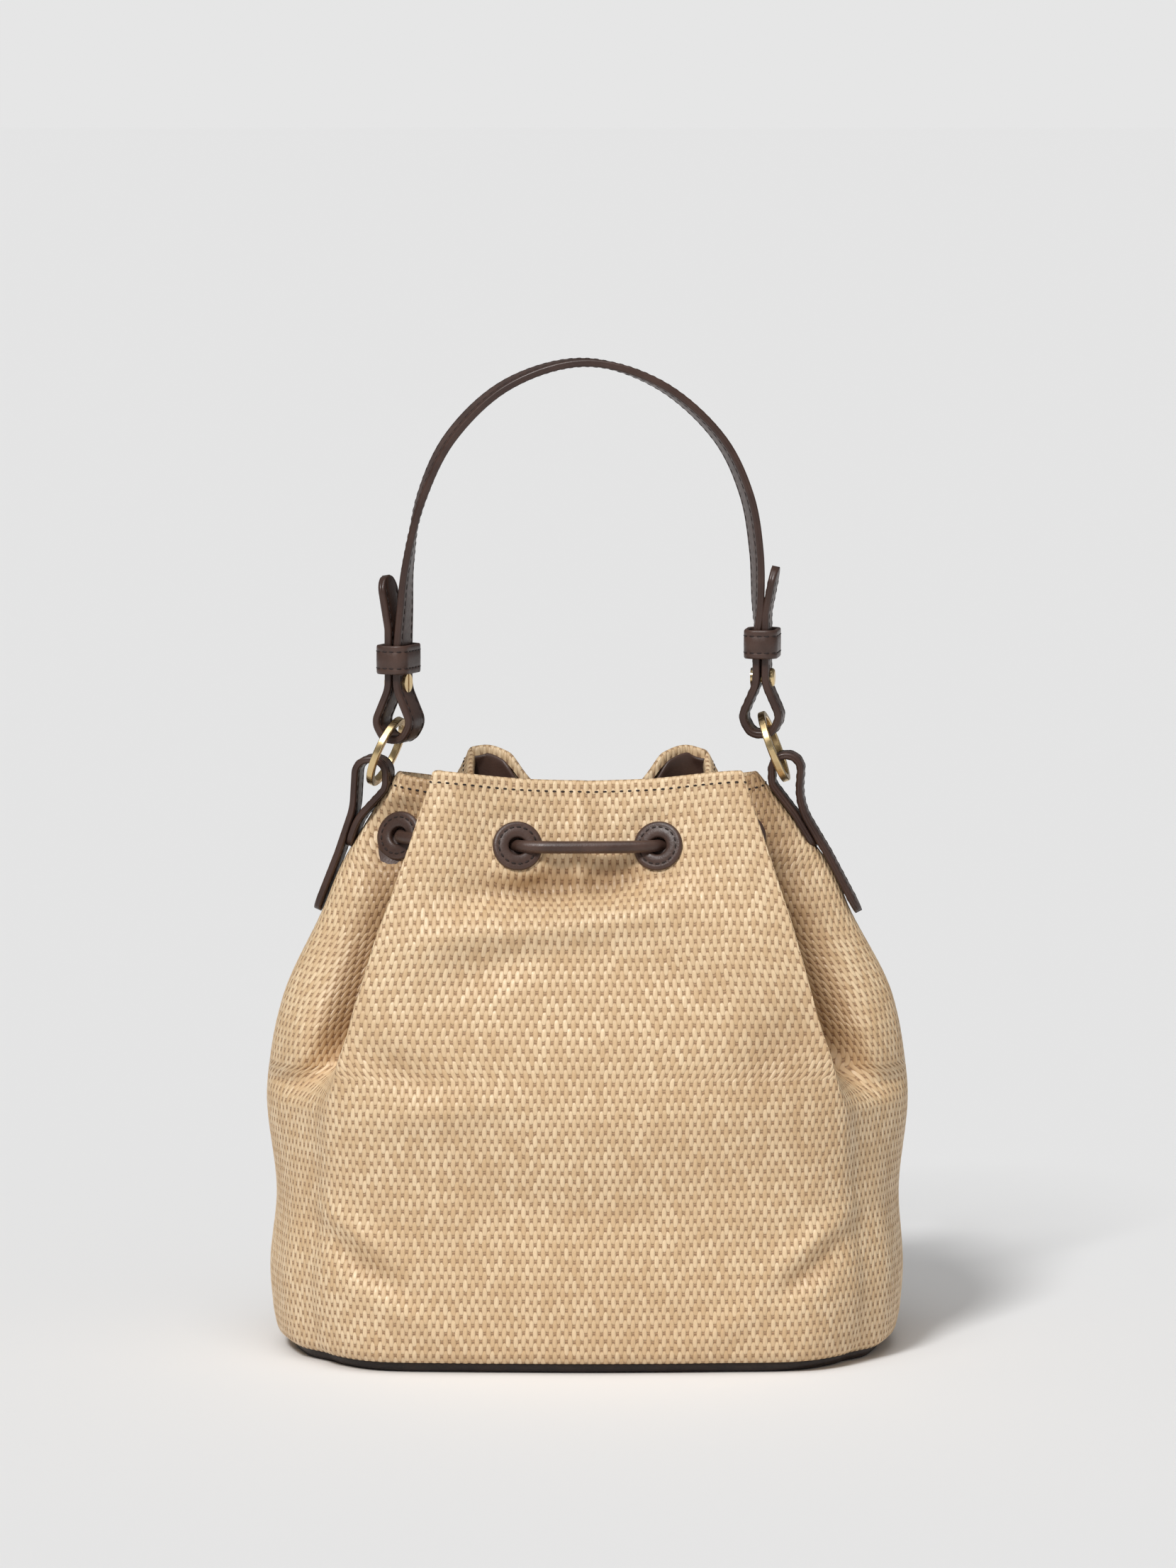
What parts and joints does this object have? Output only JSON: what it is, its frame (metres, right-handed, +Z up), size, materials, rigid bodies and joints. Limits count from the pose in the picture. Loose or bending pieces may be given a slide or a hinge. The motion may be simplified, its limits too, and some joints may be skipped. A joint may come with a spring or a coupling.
{
  "type": "bucket bag",
  "caption": "Gathered bucket bag of woven straw-look fabric with leather rim cord, side tabs on metal rings and a short leather top handle.",
  "frame": {"origin": "centre of the underside, on the ground", "axes": "+Z up, +X to the right side fold, front faces -Y"},
  "size_m": [0.2394, 0.1495, 0.3672],
  "materials": {
    "woven": "plain weave of flat shiny tapes",
    "leather": "smooth dark brown leather, satin",
    "lining": "matte",
    "board": "matte",
    "metal": "brushed"
  },
  "bodies": {
    "bag": {"front_panel": "woven", "back_panel": "woven", "lining_front": "lining", "lining_back": "lining", "lining_floor": "lining", "rim_facing_front": "leather", "rim_facing_back": "leather", "base_panel": "leather", "base_board": "board", "drawstring": "leather", "cord_sleeve": "leather", "tab_left": "leather", "tab_right": "leather", "eyelet_01": "leather", "eyelet_02": "leather", "eyelet_03": "leather", "eyelet_04": "leather", "eyelet_05": "leather", "eyelet_06": "leather", "eyelet_07": "leather", "eyelet_08": "leather", "eyelet_09": "leather", "eyelet_10": "leather", "eyelet_11": "leather", "eyelet_12": "leather"},
    "ring_left": {"ring_left": "metal"},
    "ring_right": {"ring_right": "metal"},
    "handle": {"handle_strap": "leather", "screw_post_left": "metal", "screw_post_right": "metal", "screw_cap_left": "metal", "screw_cap_right": "metal"},
    "keeper_left": {"keeper_left": "leather"},
    "keeper_right": {"keeper_right": "leather"}
  },
  "joints": [
    {"name": "handle_swing", "type": "hinge", "parent": "bag", "child": "handle", "pos_m": [-0.00285, 0, 0.2225], "axis": [0.9999, 0, 0.0125], "range_deg": [-44, 58]},
    {"name": "ring_left_turn", "type": "hinge", "parent": "bag", "child": "ring_left", "pos_m": [-0.0747, 0, 0.2216], "axis": [0.9999, 0, 0.0125], "range_deg": [-22, 29]},
    {"name": "ring_right_turn", "type": "hinge", "parent": "bag", "child": "ring_right", "pos_m": [0.069, 0, 0.2234], "axis": [0.9999, 0, 0.0125], "range_deg": [-22, 29]},
    {"name": "keeper_left_slide", "type": "slide", "parent": "handle", "child": "keeper_left", "axis": [0, 0, 1], "range_m": [0, 0.006]},
    {"name": "keeper_right_slide", "type": "slide", "parent": "handle", "child": "keeper_right", "axis": [0, 0, 1], "range_m": [0, 0.006]}
  ],
  "couplings": [
    {"joint": "ring_left_turn", "follows": "handle_swing", "ratio": 0.5},
    {"joint": "ring_right_turn", "follows": "handle_swing", "ratio": 0.5}
  ]
}
